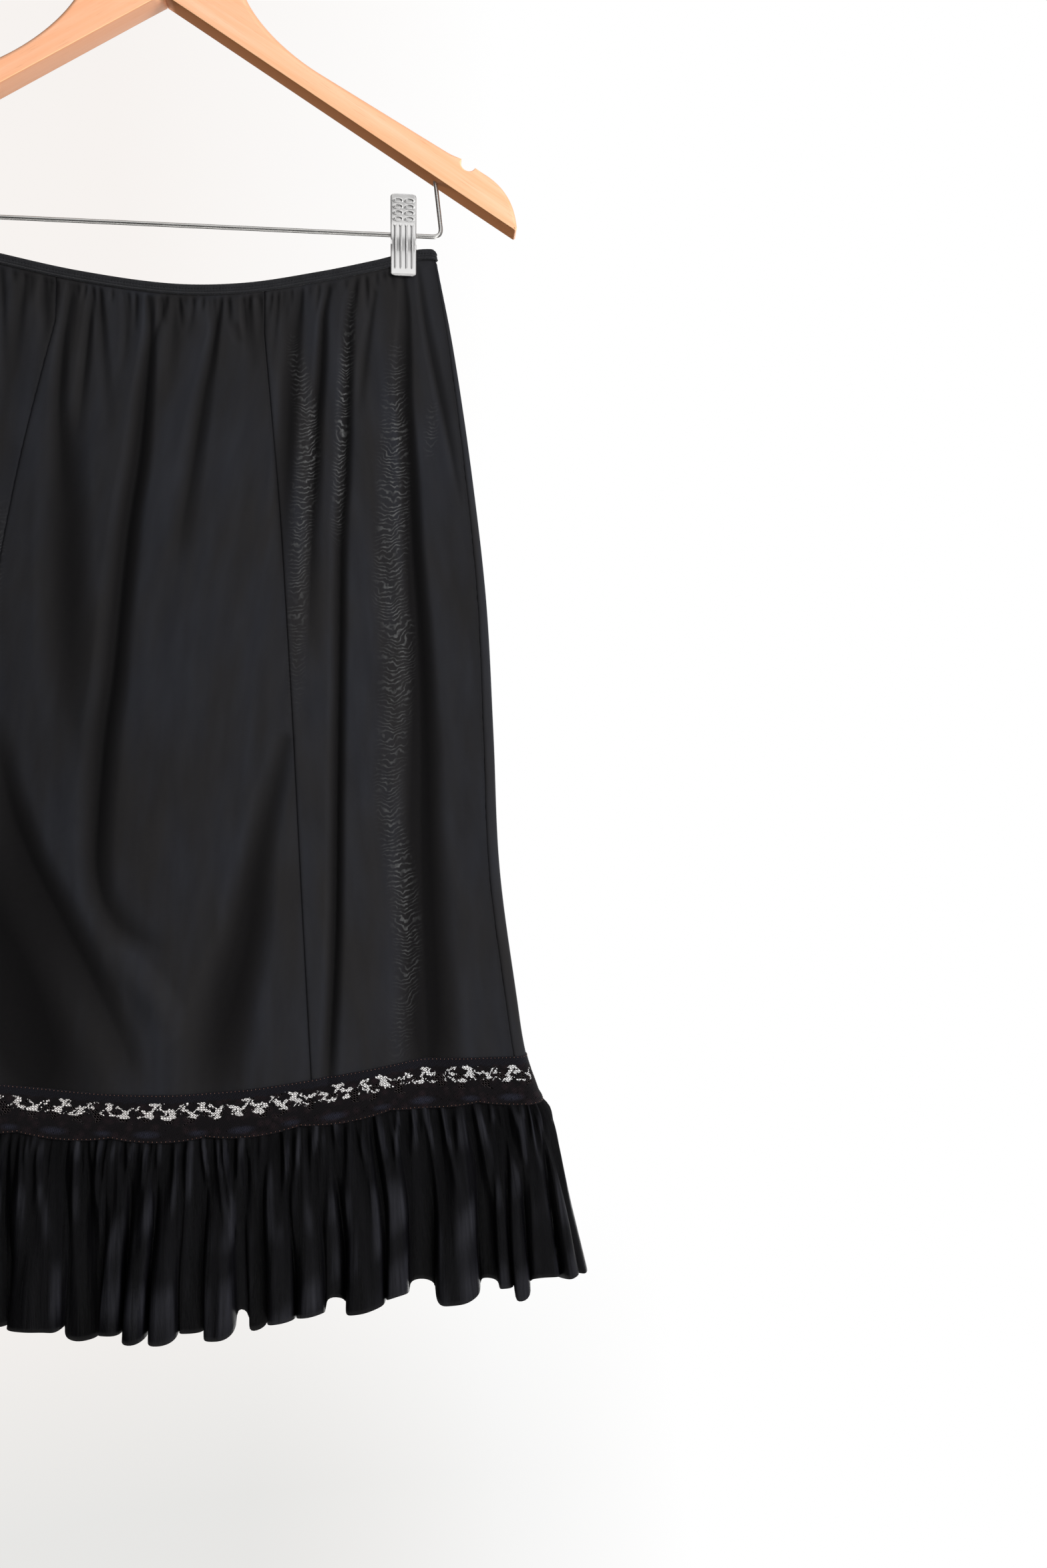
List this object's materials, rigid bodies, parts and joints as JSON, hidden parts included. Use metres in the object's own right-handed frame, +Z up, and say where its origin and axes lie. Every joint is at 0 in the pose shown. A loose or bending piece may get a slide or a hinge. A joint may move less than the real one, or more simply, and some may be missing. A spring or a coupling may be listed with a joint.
{
  "type": "slip skirt on a clip hanger",
  "caption": "Knee-length half slip of thin black knit with an elastic waist, lace band and gathered ruffle, hung flat from a wooden clip hanger.",
  "frame": {"origin": "inside top of the hanger's hook, where a rail carries it", "axes": "+Z up, -Y towards the front of the skirt, +X to the right seen from the front"},
  "size_m": [0.5406, 0.0802, 0.9435],
  "materials": {
    "knit": "satin",
    "elastic": "matt",
    "lace": "matt",
    "ruffle": "glossy",
    "wood": "satin",
    "steel": "polished"
  },
  "bodies": {
    "root": {"waistband": "elastic", "front_side_left": "knit", "front_centre": "knit", "front_side_right": "knit", "back": "knit", "lace_band": "lace", "ruffle": "ruffle", "arm_left": "wood", "arm_right": "wood", "hook": "steel", "clip_bar": "steel", "jaw_front_left": "steel", "jaw_back_left": "steel", "spring_left": "steel", "jaw_front_right": "steel", "jaw_back_right": "steel", "spring_right": "steel"}
  },
  "joints": []
}
